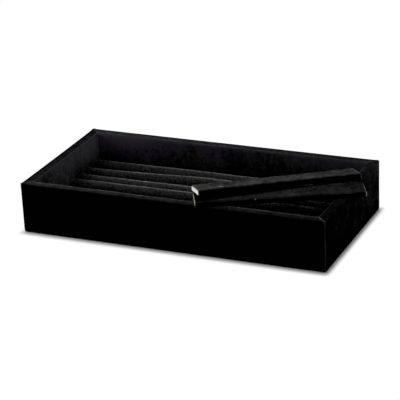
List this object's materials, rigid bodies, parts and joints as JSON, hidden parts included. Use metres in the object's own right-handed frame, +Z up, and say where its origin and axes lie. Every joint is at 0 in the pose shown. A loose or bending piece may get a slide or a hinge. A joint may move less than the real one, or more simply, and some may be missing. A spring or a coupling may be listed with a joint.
{
  "type": "ring display tray",
  "caption": "Shallow open velvet-covered tray with rows of padded ring rolls and two loose flat velvet-covered bars lying across its rims.",
  "frame": {"origin": "middle of the tray's underside, on the surface that it stands on", "axes": "+X along the tray's length and the ring rolls, +Y across it to the back, +Z up"},
  "size_m": [0.3222, 0.1598, 0.0626],
  "materials": {
    "board": "raw fibreboard",
    "steel": "drawn wire",
    "wall_velvet": "short-pile black velvet",
    "insert_velvet": "short-pile black velvet",
    "bar_velvet": "short-pile black velvet",
    "felt": "thin black felt",
    "foam": "soft open foam",
    "card": "grey board",
    "bar_core": "raw pale sawn end"
  },
  "bodies": {
    "tray": {"front_board": "board", "back_board": "board", "left_board": "board", "right_board": "board", "corner_brads": "steel", "base_board": "board", "front_velvet": "wall_velvet", "back_velvet": "wall_velvet", "left_velvet": "wall_velvet", "right_velvet": "wall_velvet", "underside_felt": "felt", "insert_card": "card", "insert_velvet": "insert_velvet", "roll_1_foam": "foam", "roll_1_velvet": "insert_velvet", "roll_2_foam": "foam", "roll_2_velvet": "insert_velvet", "roll_3_foam": "foam", "roll_3_velvet": "insert_velvet", "roll_4_foam": "foam", "roll_4_velvet": "insert_velvet", "roll_5_foam": "foam", "roll_5_velvet": "insert_velvet", "roll_6_foam": "foam", "roll_6_velvet": "insert_velvet", "roll_7_foam": "foam", "roll_7_velvet": "insert_velvet", "roll_8_foam": "foam", "roll_8_velvet": "insert_velvet"},
    "lower_bar": {"lower_bar_core": "bar_core", "lower_bar_velvet": "bar_velvet"},
    "upper_bar": {"upper_bar_core": "bar_core", "upper_bar_velvet": "bar_velvet"}
  },
  "joints": [
    {"name": "lower_bar_lift", "type": "slide", "parent": "tray", "child": "lower_bar", "axis": [0, 0, 1], "range_m": [0, 0.08]},
    {"name": "upper_bar_lift", "type": "slide", "parent": "lower_bar", "child": "upper_bar", "axis": [0, 0, 1], "range_m": [0, 0.08]}
  ]
}
